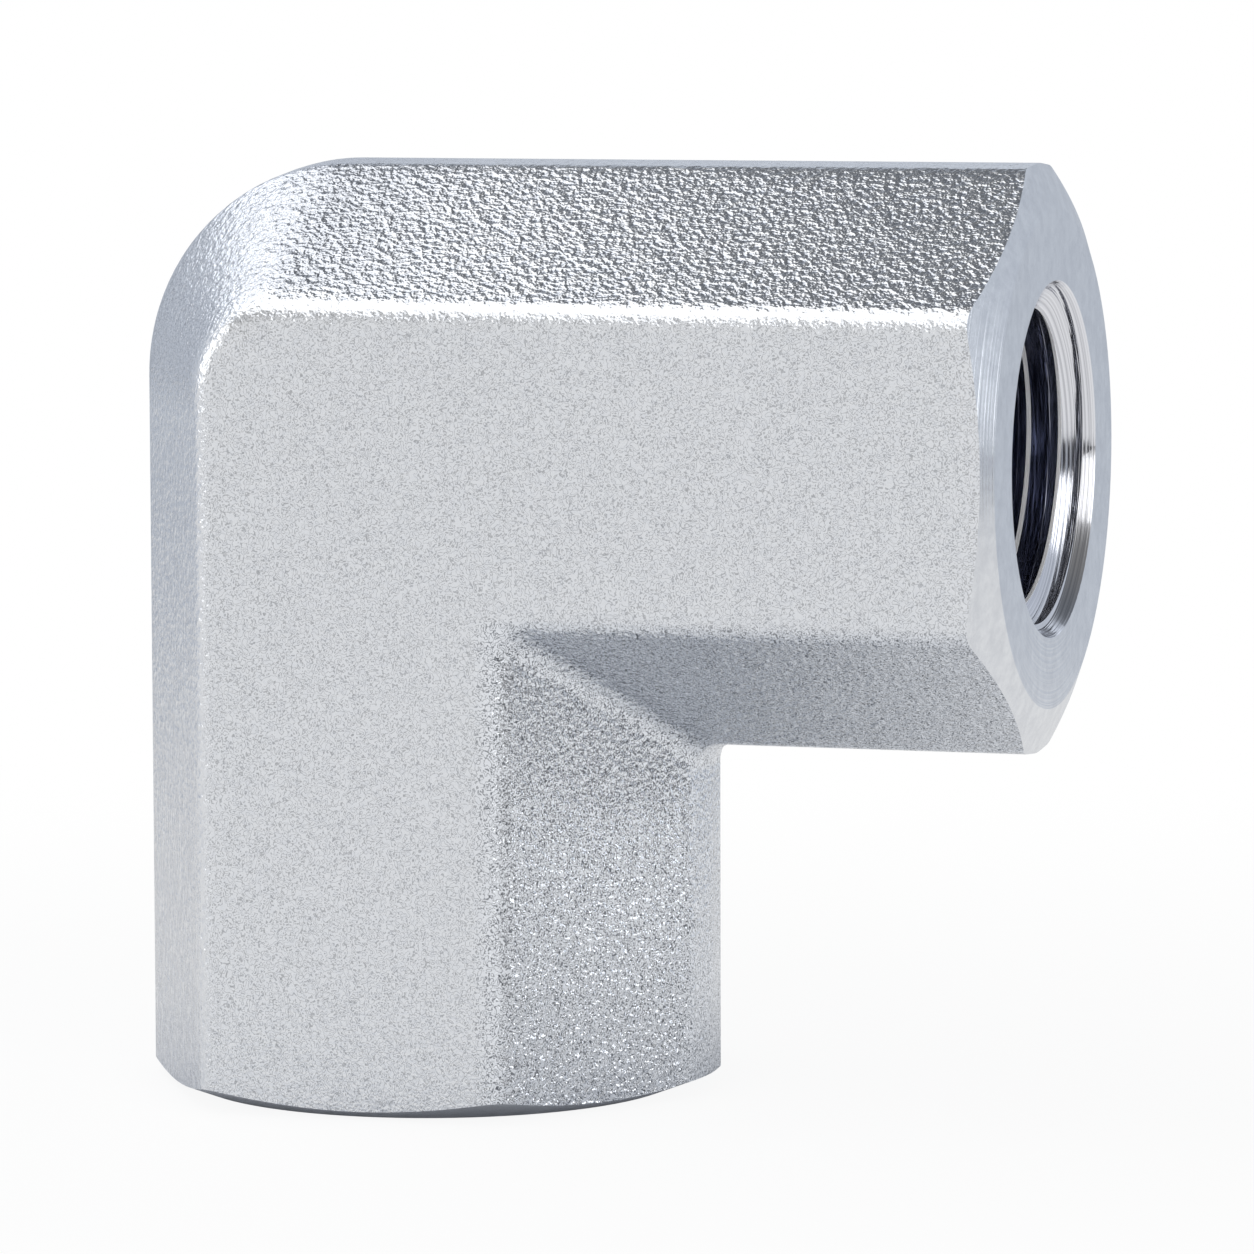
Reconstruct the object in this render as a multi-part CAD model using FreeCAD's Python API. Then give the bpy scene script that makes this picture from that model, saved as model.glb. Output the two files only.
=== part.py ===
import FreeCAD, Part
import math
import os
from FreeCAD import Vector

# A forged steel elbow: two equal arms at a right angle, each drilled from its end
# for a taper pipe thread. Millimetres, +Z up. The origin is the centre of the lower
# port's mouth, so the lower arm stands on Z = 0 with its axis on the Z axis, and the
# other arm points along +X. Y = 0 is the forging's parting plane.

# Driving sizes of the forging
ACROSS_CRESTS = 17.2          # width of an arm at the parting line, before its crest is rounded
ACROSS_FLATS = 15.8           # depth of the body between its two broad flats
FLAT_WIDTH = 9.0              # width of a broad flat, across the arm
LAND_THICKNESS = 3.0          # trimmed land at the parting line, both sides together
LAND_DRAFT_DEG = 5.0          # lean of each side of the land, away from the parting line
CENTRE_TO_FACE = 19.0         # from the crossing of the two axes to a port's face
OUTER_CORNER_RADIUS = 6.5     # the bend's outer corner, seen from the side
RIDGE_RADIUS = 1.0            # die radius between a broad flat and a slope
LAND_RADIUS = 0.8             # die radius between a slope and the land
CREST_RADIUS = 3.0            # rounding of the land along the parting line
CROTCH_RADIUS = 0.8           # die radius down the inner corner and its valleys
END_STOCK = 2.0               # forged length that the lathe takes off each end

# Driving sizes of the machining
FACE_DIAMETER = 14.5          # flat ring at a port's end
END_CONE_DEG = 21.0           # angle between the turned end cone and the port's face
MOUTH_DIAMETER = 10.4         # where the countersink meets the face
COUNTERSINK_DEG = 120.0       # full angle of the countersink
TAP_DRILL_DIAMETER = 8.7      # drilled for a 1/8-27 taper pipe thread
TAP_DRILL_DEPTH = 10.6        # from the face to the end of the straight wall
PASSAGE_DIAMETER = 6.4        # flow passage that joins the two ports
DRILL_POINT_DEG = 118.0       # point angle of both drills

CREST_HALF = ACROSS_CRESTS / 2
LAND_HALF = LAND_THICKNESS / 2
LAND_EDGE_HALF = CREST_HALF - LAND_HALF * math.tan(math.radians(LAND_DRAFT_DEG))
FLAT_HALF = FLAT_WIDTH / 2
BODY_HALF_DEPTH = ACROSS_FLATS / 2
CROSSING = Vector(0, 0, CENTRE_TO_FACE)
CORNER_INSET = CREST_HALF - OUTER_CORNER_RADIUS
NEAR = 1e-4

# One side of an arm's section, as (half width, depth) from the back flat to the front flat
SECTION_SIDE = [
    (FLAT_HALF, BODY_HALF_DEPTH),
    (LAND_EDGE_HALF, LAND_HALF),
    (CREST_HALF, 0),
    (LAND_EDGE_HALF, -LAND_HALF),
    (FLAT_HALF, -BODY_HALF_DEPTH),
]


def face_of(points):
    """A flat face bounded by straight lines through the points."""
    return Part.Face(Part.makePolygon(points + points[:1]))


def lower_arm():
    """The lower arm before turning, from below its face up to the start of the outer corner."""
    right = [Vector(width, depth, -END_STOCK) for width, depth in SECTION_SIDE]
    left = [Vector(-width, depth, -END_STOCK) for width, depth in reversed(SECTION_SIDE)]
    length = END_STOCK + CENTRE_TO_FACE + CORNER_INSET
    return face_of(right + left).extrude(Vector(0, 0, length))


def outer_corner():
    """The rounded outer corner: the arm's outer side turned about an axis across the bend."""
    side = [Vector(CORNER_INSET - width, depth, 0) for width, depth in SECTION_SIDE]
    axis_ends = [Vector(0, -BODY_HALF_DEPTH, 0), Vector(0, BODY_HALF_DEPTH, 0)]
    corner = face_of(side + axis_ends).revolve(Vector(0, 0, 0), Vector(0, 1, 0), 360)
    corner.translate(CROSSING + Vector(-CORNER_INSET, 0, CORNER_INSET))
    return corner


def on_right_arm(shape):
    """A copy of the shape, moved from the lower arm to the right arm."""
    moved = shape.copy()
    moved.rotate(CROSSING, Vector(0, 1, 0), -90)
    return moved


def edges_at_depth(body, depth):
    """Edges that run along the arms on the planes Y = depth and Y = -depth."""
    found = []
    for edge in body.Edges:
        box = edge.BoundBox
        on_an_end = box.ZMax < 0 or box.XMin > CENTRE_TO_FACE
        on_plane = all(abs(abs(corner.Y) - depth) < NEAR for corner in edge.Vertexes)
        if on_plane and not on_an_end:
            found.append(edge)
    return found


def crotch_edges(body):
    """Edges of the inner corner, across the parting line from one broad flat to the other."""
    found = []
    for edge in body.Edges:
        inside = all(corner.X > 0 for corner in edge.Vertexes)
        on_diagonal = all(
            abs(corner.X + corner.Z - CROSSING.z) < NEAR for corner in edge.Vertexes
        )
        if inside and on_diagonal:
            found.append(edge)
    return found


def forging():
    """The whole forging with its die radii, before any machining."""
    arm = lower_arm()
    body = arm.fuse([on_right_arm(arm), outer_corner()]).removeSplitter()
    body = body.makeFillet(CREST_RADIUS, edges_at_depth(body, 0))
    body = body.makeFillet(LAND_RADIUS, edges_at_depth(body, LAND_HALF))
    body = body.makeFillet(CROTCH_RADIUS, crotch_edges(body))
    return body.makeFillet(RIDGE_RADIUS, edges_at_depth(body, BODY_HALF_DEPTH))


def turned(profile):
    """A solid turned about the lower arm's axis; the profile's points are (radius, height)."""
    points = [Vector(radius, 0, height) for radius, height in profile]
    return face_of(points).revolve(Vector(0, 0, 0), Vector(0, 0, 1), 360)


def end_envelope():
    """What the lathe leaves of an arm's end: everything behind the flat ring and its cone."""
    face_radius = FACE_DIAMETER / 2
    reach = CENTRE_TO_FACE + ACROSS_CRESTS
    cone_rise = (reach - face_radius) * math.tan(math.radians(END_CONE_DEG))
    return turned([
        (0, 0),
        (face_radius, 0),
        (reach, cone_rise),
        (reach, reach + cone_rise),
        (0, reach + cone_rise),
    ])


def port_bore():
    """The drilled port: countersink, tap drill with its cone, and the passage to the crossing."""
    mouth_radius = MOUTH_DIAMETER / 2
    drill_radius = TAP_DRILL_DIAMETER / 2
    passage_radius = PASSAGE_DIAMETER / 2
    countersink_depth = (mouth_radius - drill_radius) / math.tan(math.radians(COUNTERSINK_DEG / 2))
    point_slope = math.tan(math.radians(DRILL_POINT_DEG / 2))
    return turned([
        (0, 0),
        (mouth_radius, 0),
        (drill_radius, countersink_depth),
        (drill_radius, TAP_DRILL_DEPTH),
        (passage_radius, TAP_DRILL_DEPTH + (drill_radius - passage_radius) / point_slope),
        (passage_radius, CENTRE_TO_FACE),
        (0, CENTRE_TO_FACE + passage_radius / point_slope),
    ])


def elbow_body():
    """The forging with both ends turned and both ports drilled."""
    envelope = end_envelope()
    bore = port_bore()
    machined = forging().common(envelope).common(on_right_arm(envelope))
    return machined.cut(bore.fuse(on_right_arm(bore)))


os.makedirs("parts", exist_ok=True)
elbow_body().exportStep("parts/elbow_body.step")
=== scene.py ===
# A forged steel pipe elbow with a taper-threaded port at each end, zinc plated,
# standing on its lower port in a plain white studio.
import math

import bpy
from mathutils import Matrix, Vector


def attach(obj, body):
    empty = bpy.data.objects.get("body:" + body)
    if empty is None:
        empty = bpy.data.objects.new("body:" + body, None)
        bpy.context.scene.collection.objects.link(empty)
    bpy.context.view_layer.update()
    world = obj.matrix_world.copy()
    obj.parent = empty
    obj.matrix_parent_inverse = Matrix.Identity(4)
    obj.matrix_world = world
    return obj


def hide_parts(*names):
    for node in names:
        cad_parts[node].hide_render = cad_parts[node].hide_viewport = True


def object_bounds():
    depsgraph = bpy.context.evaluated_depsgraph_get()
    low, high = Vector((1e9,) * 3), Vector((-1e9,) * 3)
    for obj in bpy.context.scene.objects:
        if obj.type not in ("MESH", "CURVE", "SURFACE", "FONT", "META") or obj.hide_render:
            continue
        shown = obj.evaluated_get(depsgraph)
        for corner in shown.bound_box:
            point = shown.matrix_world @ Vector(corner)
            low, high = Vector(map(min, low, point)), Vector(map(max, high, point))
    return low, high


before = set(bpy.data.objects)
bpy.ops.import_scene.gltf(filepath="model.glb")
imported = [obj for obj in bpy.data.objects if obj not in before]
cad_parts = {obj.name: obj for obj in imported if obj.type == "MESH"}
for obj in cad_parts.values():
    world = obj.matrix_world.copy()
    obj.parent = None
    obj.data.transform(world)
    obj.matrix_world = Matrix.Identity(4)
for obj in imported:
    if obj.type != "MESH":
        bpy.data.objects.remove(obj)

cad_low, cad_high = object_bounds()


# The forging
# The elbow is one piece of steel, struck hot between two dies that part along the middle
# of its depth. The flash is trimmed off the land, then the whole piece is shot blasted and
# bright zinc plated, which leaves a fine sparkling grain on its slopes.
flat_depth = cad_high[1]
land_half_thickness = 0.0015
forging_weld = 1e-6

bpy.ops.object.select_all(action="DESELECT")
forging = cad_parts["elbow_body"]
elbow = forging.copy()
elbow.data = forging.data.copy()
elbow.name = elbow.data.name = "threaded_elbow"
bpy.context.scene.collection.objects.link(elbow)
elbow.select_set(True)
bpy.context.view_layer.objects.active = elbow
bpy.ops.mesh.customdata_custom_splitnormals_clear()
bpy.ops.object.mode_set(mode="EDIT")
bpy.ops.mesh.select_all(action="SELECT")
bpy.ops.mesh.remove_doubles(threshold=forging_weld)
bpy.ops.object.mode_set(mode="OBJECT")


def add_node(tree, kind, inputs=None, **settings):
    """One shader node, with its settings, and its inputs given as values or as links."""
    node = tree.nodes.new(kind)
    for name, value in settings.items():
        setattr(node, name, value)
    for key, value in (inputs or {}).items():
        if isinstance(value, bpy.types.NodeSocket):
            tree.links.new(value, node.inputs[key])
        else:
            node.inputs[key].default_value = value
    return node


def add_math(tree, operation, *values):
    """The output of a Math node on values or links."""
    node = add_node(tree, "ShaderNodeMath", dict(enumerate(values)), operation=operation)
    return node.outputs["Value"]


def add_range(tree, value, span, levels):
    """A smooth step between two levels, while a value crosses a span."""
    inputs = {
        "Value": value,
        "From Min": span[0],
        "From Max": span[1],
        "To Min": levels[0],
        "To Max": levels[1],
    }
    node = add_node(tree, "ShaderNodeMapRange", inputs, interpolation_type="SMOOTHSTEP")
    return node.outputs["Result"]


def add_blend(tree, share, first, second):
    """A colour between two colours."""
    node = add_node(tree, "ShaderNodeMix", {0: share, 6: first, 7: second}, data_type="RGBA")
    return node.outputs[2]


def add_noise(tree, place, size, detail, roughness=0.5):
    """Noise with a given size of grain."""
    inputs = {"Vector": place, "Scale": 1 / size, "Detail": detail, "Roughness": roughness}
    return add_node(tree, "ShaderNodeTexNoise", inputs).outputs["Fac"]


def add_bump(tree, height, distance, normal=None):
    """A normal bent by a height, over another normal where one is given."""
    inputs = {"Height": height, "Strength": 1.0, "Distance": distance}
    if normal is not None:
        inputs["Normal"] = normal
    return add_node(tree, "ShaderNodeBump", inputs).outputs["Normal"]


def new_group(name, inputs, outputs):
    """An empty shader node group; inputs and outputs are pairs of a name and a kind of socket."""
    group = bpy.data.node_groups.new(name, "ShaderNodeTree")
    for label, kind in inputs:
        group.interface.new_socket(name=label, in_out="INPUT", socket_type=kind)
    for label, kind in outputs:
        group.interface.new_socket(name=label, in_out="OUTPUT", socket_type=kind)
    return group, group.nodes.new("NodeGroupInput"), group.nodes.new("NodeGroupOutput")


def new_metal(name):
    """A material of bare metal: its tree, its shader and its place on the object."""
    metal = bpy.data.materials.new(name)
    metal.use_nodes = True
    tree = metal.node_tree
    shader = tree.nodes["Principled BSDF"]
    shader.inputs["Metallic"].default_value = 1.0
    place = tree.nodes.new("ShaderNodeTexCoord").outputs["Object"]
    return metal, tree, shader, place


def give_material(piece, finish):
    """Gives a piece one material and no other."""
    piece.data.materials.clear()
    piece.data.materials.append(finish)


# The blasted skin. Each fade is a soft edge, as two depths from the parting plane.
rising = (0.0, 1.0)
falling = (1.0, 0.0)
land_fade = (land_half_thickness, land_half_thickness + 0.0006)
slope_fade = (flat_depth - 0.0012, flat_depth - 0.0006)
ridge_fade = (flat_depth - 0.0006, flat_depth - 0.00005)
flat_fade = (flat_depth - 0.0003, flat_depth - 0.00002)
coarse_on_land = 0.6
coarse_on_flat = 0.35
fine_on_flat = 0.3
# Share of the painted glint and shade lines on the flats.
painted_worms_on_flat = 0.5

# Patches in the side view: an edge across X with its levels, and an edge up Z with its levels
# The low right patch and the corner patch take painted glint and shade lines; the left patch and the
# corner patch take painted shade.
low_right_patch = ((0.003, 0.0045), rising), ((0.0143, 0.0152), falling)
left_patch = ((-0.0055, -0.0045), falling), ((0.017, 0.021), falling)
corner_patch = ((-0.0035, 0.003), falling), ((0.0200, 0.0215), rising)
# Strength of the painted shade on the left slope and on the corner slope.
left_painted_shade = 0.8
corner_painted_shade = 0.55

dent_size = 0.00024
dent_share = 0.7
grain_size = 0.00014
grain_height = 0.000049
fine_size = 0.00008
sway_size = 0.0016
sway_height = 0.00003
streak_width = 0.00007
streak_length = 0.0007
streak_tones = (0.4, 0.6)
worm_size = 0.00015
worm_tones = (
    (0.34, 0.92),
    (0.39, 0.0),
    (0.43, 1.0),
    (0.47, 0.92),
    (0.52, 0.92),
    (0.57, 0.05),
    (0.61, 1.0),
    (0.66, 0.92),
)
rim_tones = (0.5, 1.0)
zinc_bright = (0.80, 0.815, 0.84, 1)
# The pit colour is painted shade: the dents are coloured darker and bluer than the rims.
zinc_painted_pit_shade = (0.64, 0.67, 0.73, 1)
# The dull colour is painted shade, laid on the left slope in upright streaks and on the corner slope.
zinc_painted_shade = (0.60, 0.62, 0.67, 1)
# The two worm colours are painted: near-black lines of painted shade and near-white lines of painted
# glint.
worm_painted_shade = (0.05, 0.06, 0.08, 1)
worm_painted_glint = (0.92, 0.95, 1.0, 1)
skin_roughness = 0.24


def blasted_grain():
    """Fine overlapping dents with raised rims, as steel shot leaves them, on a slight sway."""
    group, given, result = new_group(
        "blasted_grain",
        [("Place", "NodeSocketVector")],
        [("Rims", "NodeSocketFloat"), ("Sway", "NodeSocketFloat")],
    )
    place = given.outputs["Place"]
    cells = {"Vector": place, "Scale": 1 / dent_size}
    dent = add_node(group, "ShaderNodeTexVoronoi", cells, feature="F1")
    dents = add_math(group, "MULTIPLY", dent.outputs["Distance"], dent_share)
    rims = add_math(group, "ADD", dents, add_noise(group, place, grain_size, detail=1.0, roughness=0.6))
    group.links.new(rims, result.inputs["Rims"])
    group.links.new(add_noise(group, place, sway_size, detail=1.0), result.inputs["Sway"])
    return group


def add_painted_worms(tree, place):
    """Thin lines of painted shade, near black, and of painted glint, near white, wandering over pale
    zinc.
    """
    wander = add_noise(tree, place, worm_size, detail=1.0)
    ramp = add_node(tree, "ShaderNodeValToRGB", {"Fac": wander})
    stops = ramp.color_ramp.elements
    stops[0].position, stops[1].position = worm_tones[0][0], worm_tones[-1][0]
    for position, tone in worm_tones[1:-1]:
        stops.new(position)
    for stop, (position, tone) in zip(stops, worm_tones):
        stop.color = (tone, tone, tone, 1)
    return add_blend(tree, ramp.outputs["Color"], worm_painted_shade, worm_painted_glint)


def add_streaks(tree, place):
    """Fine upright streaks."""
    stretch = (1 / streak_width, 1 / streak_width, 1 / streak_length)
    drawn = add_node(tree, "ShaderNodeVectorMath", {0: place, 1: stretch}, operation="MULTIPLY")
    return add_noise(tree, drawn.outputs["Vector"], size=1.0, detail=1.0)


def add_patch(tree, axes, across, up):
    """A mask over a part of the side view, with one soft edge across and one up."""
    in_x = add_range(tree, axes.outputs["X"], *across)
    in_z = add_range(tree, axes.outputs["Z"], *up)
    return add_math(tree, "MULTIPLY", in_x, in_z)


def blasted_zinc():
    """Coarse dents on the slopes, finer ones on the flats, painted shade in the dents, painted shade
    and glint lines, and two patches of painted shade.
    """
    skin, tree, shader, place = new_metal("blasted_zinc")
    axes = add_node(tree, "ShaderNodeSeparateXYZ", {0: place})
    depth = add_math(tree, "ABSOLUTE", axes.outputs["Y"])
    grain = add_node(tree, "ShaderNodeGroup", {"Place": place}, node_tree=blasted_grain())

    off_flat = add_range(tree, depth, ridge_fade, (1.0, coarse_on_flat))
    off_land = add_range(tree, depth, land_fade, (coarse_on_land, 1.0))
    coarseness = add_math(tree, "MULTIPLY", off_flat, off_land)
    fineness = add_range(tree, depth, flat_fade, (0.0, fine_on_flat))
    coarse = add_math(tree, "MULTIPLY", grain.outputs["Rims"], coarseness)
    fine_noise = add_noise(tree, place, fine_size, detail=0.0)
    fine = add_math(tree, "MULTIPLY", fine_noise, fineness)
    dented = add_bump(tree, add_math(tree, "ADD", coarse, fine), grain_height)
    swayed = add_bump(tree, grain.outputs["Sway"], sway_height, dented)
    tree.links.new(swayed, shader.inputs["Normal"])

    # Painted shade in the dents: the colour darkens from the rims into the hollows, most on the slopes.
    evenness = add_math(tree, "SUBTRACT", 1.0, coarseness)
    rim_share = add_range(tree, grain.outputs["Rims"], rim_tones, (evenness, 1.0))
    plain = add_blend(tree, rim_share, zinc_painted_pit_shade, zinc_bright)

    off_ridge = add_range(tree, depth, slope_fade, falling)
    on_corner = add_math(tree, "MULTIPLY", add_patch(tree, axes, *corner_patch), off_ridge)
    # Painted glint and shade lines go on the flats, on a low patch at the right and on the corner
    # slope.
    on_flat = add_range(tree, depth, flat_fade, (0.0, painted_worms_on_flat))
    low_right = add_patch(tree, axes, *low_right_patch)
    flat_or_low = add_math(tree, "MAXIMUM", on_flat, low_right)
    painted_worm_share = add_math(tree, "MAXIMUM", flat_or_low, on_corner)
    with_painted_worms = add_blend(tree, painted_worm_share, plain, add_painted_worms(tree, place))

    # Painted shade: the left slope darkens in upright streaks, and the corner slope darkens evenly.
    streaked = add_range(tree, add_streaks(tree, place), streak_tones, (left_painted_shade, 0.0))
    painted_shade_left = add_math(tree, "MULTIPLY", add_patch(tree, axes, *left_patch), streaked)
    painted_shade_corner = add_math(tree, "MULTIPLY", on_corner, corner_painted_shade)
    painted_shade_share = add_math(tree, "MAXIMUM", painted_shade_left, painted_shade_corner)
    tree.links.new(add_blend(tree, painted_shade_share, with_painted_worms, zinc_painted_shade), shader.inputs["Base Color"])
    shader.inputs["Roughness"].default_value = skin_roughness
    return skin


give_material(elbow, blasted_zinc())


# The tapped ports
# Each port is drilled, given a steep lead-in that breaks its first turn, and tapped with a
# right-hand taper pipe thread, 27 turns to the inch, whose last turns the tap's lead leaves
# shallow. Each tool is modelled and taken out of the forging.
centre_to_face = cad_high[0]
drill_radius = 0.00439
drill_reach = 0.0101
overhang = 0.001
mouth_radius = 0.0052
lip_gap = 0.00001
lead_in_depth = 0.00042
lead_in_slope = 0.55
countersink_half_deg = 60.0
thread_pitch = 0.0254 / 27
thread_root_radius = 0.005121
thread_root_flat = 0.000036
thread_flank_deg = 30.0
thread_taper = 1 / 32
first_root_depth = 0.000450
turns_outside = 2
turns_in_all = 9
ridge_gap = 0.000015
tap_lead_depth = 0.0050
tap_lead_slope = 0.45
steps_per_turn = 96
cut_weld = 2e-6


def pick_corners(test):
    """Selects the active object's corners that pass a test, ready for edit mode."""
    bpy.ops.object.mode_set(mode="EDIT")
    bpy.ops.mesh.select_mode(type="VERT")
    bpy.ops.mesh.select_all(action="DESELECT")
    bpy.ops.object.mode_set(mode="OBJECT")
    for corner in bpy.context.object.data.vertices:
        corner.select = test(corner.co)
    bpy.ops.object.mode_set(mode="EDIT")


def make_drill(finish):
    """A drill that clears the port's wall, standing on the lower port's axis."""
    bpy.ops.object.select_all(action="DESELECT")
    bpy.ops.mesh.primitive_cylinder_add(
        vertices=steps_per_turn,
        radius=drill_radius,
        depth=drill_reach + overhang,
        location=(0, 0, (drill_reach - overhang) / 2),
    )
    bpy.ops.object.transform_apply(location=True, rotation=True, scale=True)
    give_material(bpy.context.object, finish)
    return bpy.context.object


def make_lead_in(finish):
    """A steep cone that breaks the first turn's edge in the mouth, and the countersink below it."""
    lip = mouth_radius - lip_gap
    shoulder = lip - lead_in_depth * lead_in_slope
    point_rise = (shoulder - drill_radius) / math.tan(math.radians(countersink_half_deg))
    bpy.ops.object.select_all(action="DESELECT")
    bpy.ops.mesh.primitive_cone_add(
        vertices=steps_per_turn,
        radius1=lip + overhang * lead_in_slope,
        radius2=shoulder,
        depth=overhang + lead_in_depth,
        location=(0, 0, (lead_in_depth - overhang) / 2),
    )
    bpy.ops.object.transform_apply(location=True, rotation=True, scale=True)
    pick_corners(lambda corner: corner.z > 0)
    bpy.ops.mesh.select_mode(type="FACE")
    bpy.ops.mesh.extrude_region_move(TRANSFORM_OT_translate={"value": (0, 0, point_rise)})
    narrowing = drill_radius / shoulder
    bpy.ops.transform.resize(value=(narrowing, narrowing, 1), center_override=(0, 0, 0))
    bpy.ops.object.mode_set(mode="OBJECT")
    give_material(bpy.context.object, finish)
    return bpy.context.object


def make_tap(finish):
    """The tap's ridge: a V form, coiled up the lower port's axis and drawn in with its depth."""
    ridge_width = thread_pitch - ridge_gap
    ridge_height = (ridge_width - thread_root_flat) / 2 / math.tan(math.radians(thread_flank_deg))
    middle = thread_root_radius - ridge_height / 2
    start = first_root_depth - turns_outside * thread_pitch
    bpy.ops.object.select_all(action="DESELECT")
    bpy.ops.mesh.primitive_plane_add(size=1, rotation=(0, math.radians(90), 0))
    tap = bpy.context.object
    bpy.ops.object.transform_apply(location=True, rotation=True, scale=True)
    bpy.ops.object.mode_set(mode="EDIT")
    bpy.ops.mesh.select_all(action="SELECT")
    bpy.ops.transform.resize(value=(1, ridge_height, ridge_width), center_override=(0, 0, 0))
    bpy.ops.transform.translate(value=(0, middle, start))
    pick_corners(lambda corner: corner.y > middle)
    narrowing = thread_root_flat / ridge_width
    bpy.ops.transform.resize(value=(1, 1, narrowing), center_override=(0, middle, start))
    bpy.ops.mesh.select_all(action="SELECT")
    bpy.ops.mesh.delete(type="ONLY_FACE")
    bpy.ops.object.mode_set(mode="OBJECT")
    coil = tap.modifiers.new("coil", "SCREW")
    coil.screw_offset = thread_pitch
    coil.iterations = turns_in_all
    coil.steps = coil.render_steps = steps_per_turn
    coil.use_normal_calculate = True
    bpy.ops.object.modifier_apply(modifier=coil.name)
    for corner in tap.data.vertices:
        depth = corner.co.z
        drawn_in = depth * thread_taper + max(0.0, depth - tap_lead_depth) * tap_lead_slope
        radius = math.hypot(corner.co.x, corner.co.y)
        corner.co.xy *= (radius - drawn_in) / radius
    bpy.ops.object.mode_set(mode="EDIT")
    bpy.ops.mesh.select_all(action="SELECT")
    bpy.ops.mesh.fill_holes(sides=4)
    bpy.ops.mesh.normals_make_consistent(inside=False)
    bpy.ops.object.mode_set(mode="OBJECT")
    give_material(tap, finish)
    return tap


def turn_to_right_port(tool):
    """A copy of a tool, turned about the crossing of the two axes onto the right port."""
    twin = tool.copy()
    twin.data = tool.data.copy()
    bpy.context.scene.collection.objects.link(twin)
    crossing = Matrix.Translation((0, 0, centre_to_face))
    twin.data.transform(crossing @ Matrix.Rotation(math.radians(-90), 4, "Y") @ crossing.inverted())
    return twin


def take_out(piece, tool):
    """Cuts a tool's shape out of a piece."""
    bpy.ops.object.select_all(action="DESELECT")
    piece.select_set(True)
    bpy.context.view_layer.objects.active = piece
    cut = piece.modifiers.new("cut", "BOOLEAN")
    cut.operation = "DIFFERENCE"
    cut.solver = "EXACT"
    cut.material_mode = "TRANSFER"
    cut.object = tool
    bpy.ops.object.modifier_apply(modifier=cut.name)
    bpy.data.objects.remove(tool)
    bpy.ops.object.mode_set(mode="EDIT")
    bpy.ops.mesh.select_all(action="SELECT")
    bpy.ops.mesh.remove_doubles(threshold=cut_weld)
    bpy.ops.mesh.dissolve_degenerate(threshold=cut_weld)
    bpy.ops.object.mode_set(mode="OBJECT")


# The plated thread. The crests are painted white and not metal, as a painted highlight, and deeper in
# the zinc is painted darker, as painted shade.
crest_inner_edge = (drill_radius - 0.0001, drill_radius - 0.00005)
crest_outer_edge = (drill_radius + 0.000002, drill_radius + 0.000015)
last_turn_depth = (0.0050, 0.0060)
first_turn_depth = (0.0007, 0.0016)
chatter_per_metre = 20000.0
chatter_height = 0.000012
torn_tones = (0.35, 0.6)
zinc_torn = (0.58, 0.59, 0.63, 1)
zinc_mouth = (0.82, 0.83, 0.87, 1)
# The deep colour is painted shade inside the port.
zinc_painted_deep_shade = (0.38, 0.40, 0.50, 1)
# The crest colour is a painted highlight: white, and not metal.
crest_highlight_white = (1.0, 1.0, 1.0, 1)
thread_roughness = 0.12


def port_place():
    """A point's radius from its own port's axis, and its depth below that port's face."""
    group, given, result = new_group(
        "port_place",
        [("Place", "NodeSocketVector")],
        [("Radius", "NodeSocketFloat"), ("Depth", "NodeSocketFloat")],
    )
    axes = add_node(group, "ShaderNodeSeparateXYZ", {0: given.outputs["Place"]})
    along = axes.outputs["X"]
    down = add_math(group, "SUBTRACT", centre_to_face, axes.outputs["Z"])
    across = add_math(group, "MINIMUM", along, down)
    across_squared = add_math(group, "MULTIPLY", across, across)
    depth_squared = add_math(group, "MULTIPLY", axes.outputs["Y"], axes.outputs["Y"])
    radius = add_math(group, "SQRT", add_math(group, "ADD", across_squared, depth_squared))
    depth = add_math(group, "SUBTRACT", centre_to_face, add_math(group, "MAXIMUM", along, down))
    group.links.new(radius, result.inputs["Radius"])
    group.links.new(depth, result.inputs["Depth"])
    return group


def add_tool_lines(tree, along, lines_per_metre, detail):
    """Noise along one measure only, as a cutting edge leaves it round a turned surface."""
    inputs = {"W": along, "Scale": lines_per_metre, "Detail": detail}
    return add_node(tree, "ShaderNodeTexNoise", inputs, noise_dimensions="1D").outputs["Fac"]


def tapped_zinc(port_group):
    """Bright at the mouth, painted shade deeper in, torn into lines by the tap, with a painted
    highlight on the crests.
    """
    thread, tree, shader, place = new_metal("tapped_zinc")
    port = add_node(tree, "ShaderNodeGroup", {"Place": place}, node_tree=port_group)
    radius, depth = port.outputs["Radius"], port.outputs["Depth"]
    chatter = add_tool_lines(tree, depth, chatter_per_metre, detail=1.0)
    tree.links.new(add_bump(tree, chatter, chatter_height), shader.inputs["Normal"])

    outside_crest = add_range(tree, radius, crest_inner_edge, rising)
    inside_flank = add_range(tree, radius, crest_outer_edge, falling)
    on_crest = add_math(tree, "MULTIPLY", outside_crest, inside_flank)
    above_last_turn = add_range(tree, depth, last_turn_depth, falling)
    # Painted highlight: the crests turn white and not metal, short of the last turns.
    crest_highlight = add_math(tree, "MULTIPLY", on_crest, above_last_turn)
    tree.links.new(add_math(tree, "SUBTRACT", 1.0, crest_highlight), shader.inputs["Metallic"])

    torn = add_range(tree, chatter, torn_tones, rising)
    near_mouth = add_blend(tree, torn, zinc_torn, zinc_mouth)
    # Painted shade: deeper in the port the zinc is coloured darker and bluer.
    deep_shade = add_range(tree, depth, first_turn_depth, rising)
    plating_and_deep_shade = add_blend(tree, deep_shade, near_mouth, zinc_painted_deep_shade)
    tree.links.new(add_blend(tree, crest_highlight, plating_and_deep_shade, crest_highlight_white), shader.inputs["Base Color"])
    shader.inputs["Roughness"].default_value = thread_roughness
    return thread


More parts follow.
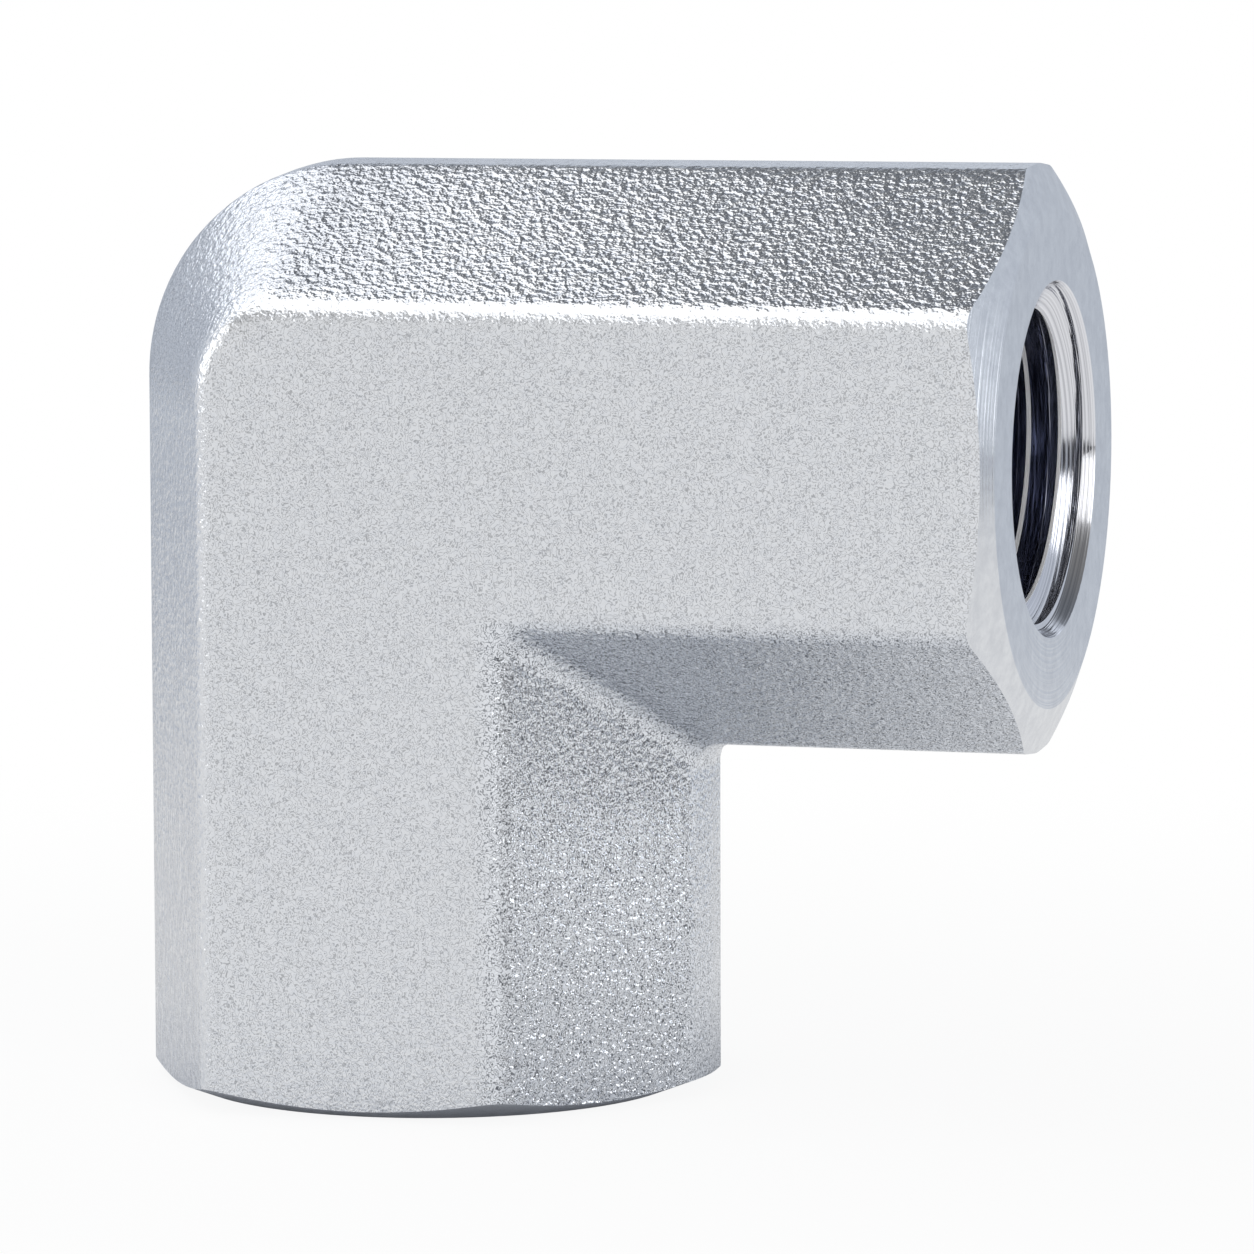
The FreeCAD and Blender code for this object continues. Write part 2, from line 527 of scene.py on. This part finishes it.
port_group = port_place()
thread_zinc = tapped_zinc(port_group)
for tool in (make_drill(thread_zinc), make_lead_in(thread_zinc), make_tap(thread_zinc)):
    take_out(elbow, turn_to_right_port(tool))
    take_out(elbow, tool)


# The turned ends
# After forging, each end is faced square on the lathe and its corners are turned back to a
# shallow cone, 21 degrees off the face. The plating lies over fine rings left by the tool.
rings_per_metre = 9000.0
ring_height = 0.000008
bloom_size = 0.0006
bloom_tones = (0.28, 0.72)
zinc_bloomed = (0.70, 0.72, 0.76, 1)
zinc_clear = (0.82, 0.84, 0.87, 1)
turned_roughness = 0.24
turned_within_deg = 24.0
smooth_within_deg = 20.5


def turned_zinc(port_group):
    """Fine rings round the port's axis, under a faint cloudy bloom."""
    turned, tree, shader, place = new_metal("turned_zinc")
    port = add_node(tree, "ShaderNodeGroup", {"Place": place}, node_tree=port_group)
    rings = add_tool_lines(tree, port.outputs["Radius"], rings_per_metre, detail=3.0)
    tree.links.new(add_bump(tree, rings, ring_height), shader.inputs["Normal"])
    bloom = add_noise(tree, place, bloom_size, detail=4.0, roughness=0.7)
    clear = add_range(tree, bloom, bloom_tones, rising)
    tree.links.new(add_blend(tree, clear, zinc_bloomed, zinc_clear), shader.inputs["Base Color"])
    shader.inputs["Roughness"].default_value = turned_roughness
    return turned


for finish in (thread_zinc, turned_zinc(port_group)):
    if finish.name not in elbow.data.materials:
        elbow.data.materials.append(finish)
slots = {material.name: number for number, material in enumerate(elbow.data.materials)}
end_normal = math.cos(math.radians(turned_within_deg))
for face in elbow.data.polygons:
    middle = face.center
    down = centre_to_face - middle.z
    outward = face.normal.x if middle.x > down else -face.normal.z
    radius = math.hypot(middle.y, min(middle.x, down))
    if radius < mouth_radius:
        face.material_index = slots["tapped_zinc"]
    elif outward > end_normal:
        face.material_index = slots["turned_zinc"]
    else:
        face.material_index = slots["blasted_zinc"]

bpy.ops.object.select_all(action="DESELECT")
elbow.select_set(True)
bpy.context.view_layer.objects.active = elbow
bpy.ops.object.shade_smooth_by_angle(angle=math.radians(smooth_within_deg))
even = elbow.modifiers.new("even", "WEIGHTED_NORMAL")
even.keep_sharp = True
bpy.ops.object.modifier_apply(modifier=even.name)

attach(elbow, "root")
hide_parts("elbow_body")


# The table top
# A sheet of white paper that the elbow stands on. It fades into the backdrop with no edge,
# keeps a faint shadow round the foot, is painted grey-blue under the foot as a painted shadow,
# and is dimmer where the metal mirrors its far end.
floor_size = 6.0
foot_edge = (0.006, 0.0105)
# The under-foot colour is a painted shadow, which the foot's metal also mirrors.
paper_painted_shadow = (0.42, 0.45, 0.52, 1)
paper_white = (0.84, 0.845, 0.855, 1)
paper_roughness = 0.8
shadow_span = (0.012, 0.08)
glow_share_in_sight = (0.92, 1.0)
level_in_sight = 1.0
mirrored_foot = (0.004, 0.027)
far_end = (0.05, 0.14)
front_wall = 0.83
back_wall = 0.62
pure_white = (1, 1, 1, 1)
back_tint = (0.88, 0.94, 1.04, 1)


def add_level(tree, share, first, second):
    """A number between two numbers."""
    node = add_node(tree, "ShaderNodeMix", {0: share, 2: first, 3: second}, data_type="FLOAT")
    return node.outputs[0]


def white_table():
    """Paper that glows plain white to the camera and as a dim studio floor in the metal, with a painted
    shadow under the foot.
    """
    white = bpy.data.materials.new("white_table")
    white.use_nodes = True
    tree = white.node_tree
    paper = tree.nodes["Principled BSDF"]
    place = tree.nodes.new("ShaderNodeTexCoord").outputs["Object"]
    axes = add_node(tree, "ShaderNodeSeparateXYZ", {0: place})
    reach = add_node(tree, "ShaderNodeVectorMath", {0: place}, operation="LENGTH").outputs["Value"]
    rays = add_node(tree, "ShaderNodeLightPath")
    in_sight, in_metal = rays.outputs["Is Camera Ray"], rays.outputs["Is Glossy Ray"]

    # Painted shadow: the paper turns grey-blue under the foot.
    off_painted_shadow = add_range(tree, reach, foot_edge, rising)
    colour = add_blend(tree, off_painted_shadow, paper_painted_shadow, paper_white)
    tree.links.new(colour, paper.inputs["Base Color"])
    paper.inputs["Roughness"].default_value = paper_roughness

    far_in_sight = add_range(tree, reach, shadow_span, glow_share_in_sight)
    far_in_metal = add_range(tree, reach, mirrored_foot, rising)
    glow_share = add_math(
        tree,
        "ADD",
        add_math(tree, "MULTIPLY", far_in_sight, in_sight),
        add_math(tree, "MULTIPLY", far_in_metal, in_metal),
    )
    level_in_metal = add_range(tree, axes.outputs["Y"], far_end, (front_wall, back_wall))
    far_behind = add_range(tree, axes.outputs["Y"], far_end, rising)
    behind = add_math(tree, "MULTIPLY", far_behind, in_metal)
    glow = add_node(
        tree,
        "ShaderNodeEmission",
        {
            "Color": add_blend(tree, behind, pure_white, back_tint),
            "Strength": add_level(tree, in_sight, level_in_metal, level_in_sight),
        },
    )
    inputs = {0: glow_share, 1: paper.outputs[0], 2: glow.outputs[0]}
    mix = add_node(tree, "ShaderNodeMixShader", inputs)
    tree.links.new(mix.outputs[0], tree.nodes["Material Output"].inputs["Surface"])
    return white


bpy.ops.object.select_all(action="DESELECT")
bpy.ops.mesh.primitive_plane_add(size=floor_size)
floor = bpy.context.object
floor.name = "table_top"
give_material(floor, white_table())


# The backdrop
# White studio walls all round, dimmer behind the elbow than in front, with a gap at the right
# and a dark ceiling. The camera sees them plain white, and the metal mirrors them as they are.
side_to_back = (-0.2, 0.6)
straight_back = (0.72, 0.92)
straight_back_level = 0.66
back_height = (0.2, 0.4)
back_top_level = 0.9
gap_direction = (0.996, -0.087, 0)
gap_edge = (0.955, 0.985)
gap_level = 0.35
ceiling_edge = (0.45, 0.75)
ceiling_level = 0.25
front_tint = (1.0, 0.995, 0.985, 1)

world = bpy.data.worlds.new("studio")
bpy.context.scene.world = world
world.use_nodes = True
tree = world.node_tree
sky = tree.nodes["Background"]
direction = tree.nodes.new("ShaderNodeTexCoord").outputs["Generated"]
axes = add_node(tree, "ShaderNodeSeparateXYZ", {0: direction})
toward_back, up = axes.outputs["Y"], axes.outputs["Z"]
high_behind = add_range(tree, up, back_height, (back_wall, back_top_level))
behind = add_range(tree, toward_back, straight_back, (straight_back_level, high_behind))
wall = add_range(tree, toward_back, side_to_back, (front_wall, behind))
inputs = {0: direction, 1: gap_direction}
toward_gap = add_node(tree, "ShaderNodeVectorMath", inputs, operation="DOT_PRODUCT").outputs["Value"]
off_gap = add_range(tree, toward_gap, gap_edge, (1.0, gap_level))
below_ceiling = add_range(tree, up, ceiling_edge, (1.0, ceiling_level))
dimming = add_math(tree, "MULTIPLY", off_gap, below_ceiling)
wall_level = add_math(tree, "MULTIPLY", wall, dimming)
in_sight = add_node(tree, "ShaderNodeLightPath").outputs["Is Camera Ray"]
level = add_level(tree, in_sight, wall_level, level_in_sight)
tree.links.new(level, sky.inputs["Strength"])
back_share = add_range(tree, toward_back, side_to_back, rising)
tint = add_blend(tree, back_share, front_tint, back_tint)
tree.links.new(add_blend(tree, in_sight, tint, pure_white), sky.inputs["Color"])


# The lamps
# A soft box hangs close above the front and the left of the elbow, turned askew to it, and
# three more stand at the right, at the front right and at the left. A black card, which a
# studio calls a flag, lies along the right and is mirrored in the port as a dark band.
box_distance = 0.5
standing_boxes = (
    ("right_box", 102, 9, 0.25, 0.18, 1.7),
    ("front_right_box", 46, 20, 0.12, 0.34, 1.2),
    ("left_box", -84, 16, 0.20, 0.24, 1.1),
)
overhead_height = 0.11
overhead_turn_deg = 53
overhead_near_edge = -0.003
overhead_depth = 0.094
overhead_width = 0.44
overhead_radiance = 1.3
flag_height = 0.0206
flag_length = 0.21
flag_right = 0.14
flag_back = -0.045
flag_black = (0.02, 0.02, 0.03, 1)


def hang_softbox(name, place, face_along, turn_deg, width, height, radiance):
    """A soft box at a place, that shines along a direction and is turned about it."""
    lamp = bpy.data.lights.new(name, "AREA")
    lamp.shape = "RECTANGLE"
    lamp.size = width
    lamp.size_y = height
    lamp.energy = radiance * math.pi * width * height
    box = bpy.data.objects.new(name, lamp)
    bpy.context.scene.collection.objects.link(box)
    turn = Matrix.Rotation(math.radians(turn_deg), 4, "Z")
    facing = Vector(face_along).to_track_quat("-Z", "Y").to_matrix().to_4x4()
    box.matrix_world = Matrix.Translation(place) @ facing @ turn


def around_elbow(azimuth_deg, elevation_deg, distance):
    """A place around the elbow; azimuth 0 is in front, and 90 is on the right."""
    azimuth = math.radians(azimuth_deg)
    elevation = math.radians(elevation_deg)
    across = distance * math.cos(elevation)
    return Vector((
        math.sin(azimuth) * across,
        -math.cos(azimuth) * across,
        centre_to_face + distance * math.sin(elevation),
    ))


crossing = Vector((0, 0, centre_to_face))
for name, azimuth_deg, elevation_deg, width, height, radiance in standing_boxes:
    place = around_elbow(azimuth_deg, elevation_deg, box_distance)
    hang_softbox(name, place, crossing - place, 0, width, height, radiance)

overhead_turn = math.radians(overhead_turn_deg)
outward = Vector((math.sin(overhead_turn), math.cos(overhead_turn), 0))
place = outward * (overhead_near_edge - overhead_depth / 2)
place.z = centre_to_face + overhead_height
hang_softbox(
    "overhead_box",
    place,
    (0, 0, -1),
    -overhead_turn_deg,
    overhead_width,
    overhead_depth,
    overhead_radiance,
)

bpy.ops.object.select_all(action="DESELECT")
bpy.ops.mesh.primitive_plane_add(
    size=1,
    location=(flag_right, flag_back, flag_height / 2),
    rotation=(0, math.radians(90), 0),
)
flag = bpy.context.object
flag.name = "black_card"
flag.scale = (flag_height, flag_length, 1)
black = bpy.data.materials.new("black_card")
black.use_nodes = True
black.node_tree.nodes["Principled BSDF"].inputs["Base Color"].default_value = flag_black
give_material(flag, black)
flag.visible_camera = False


# The camera
# It stands in front, a little to the right and a little above, with a long lens. Its place
# is given from the crossing of the two axes: right, up and back along its own directions.
view_azimuth = math.radians(16.975)
view_elevation = math.radians(5.818)
view_roll = math.radians(0.166)
view_distance = 0.21114
view_right = 0.005763
view_up = -0.005372
focal_pixels = 7088
picture_pixels = 1254
sensor_width = 36.0

right = Vector((math.cos(view_azimuth), math.sin(view_azimuth), 0))
back = Vector((
    math.sin(view_azimuth) * math.cos(view_elevation),
    -math.cos(view_azimuth) * math.cos(view_elevation),
    math.sin(view_elevation),
))
up = back.cross(right)
rolled_right = right * math.cos(view_roll) - up * math.sin(view_roll)
rolled_up = right * math.sin(view_roll) + up * math.cos(view_roll)
place = crossing + rolled_right * view_right + rolled_up * view_up + back * view_distance

camera_data = bpy.data.cameras.new("camera")
camera_data.sensor_width = sensor_width
camera_data.lens = sensor_width * focal_pixels / picture_pixels
camera = bpy.data.objects.new("camera", camera_data)
bpy.context.scene.collection.objects.link(camera)
turn = Matrix((rolled_right, rolled_up, back)).transposed().to_4x4()
camera.matrix_world = Matrix.Translation(place) @ turn
bpy.context.scene.camera = camera
bpy.context.scene.view_settings.view_transform = "Standard"
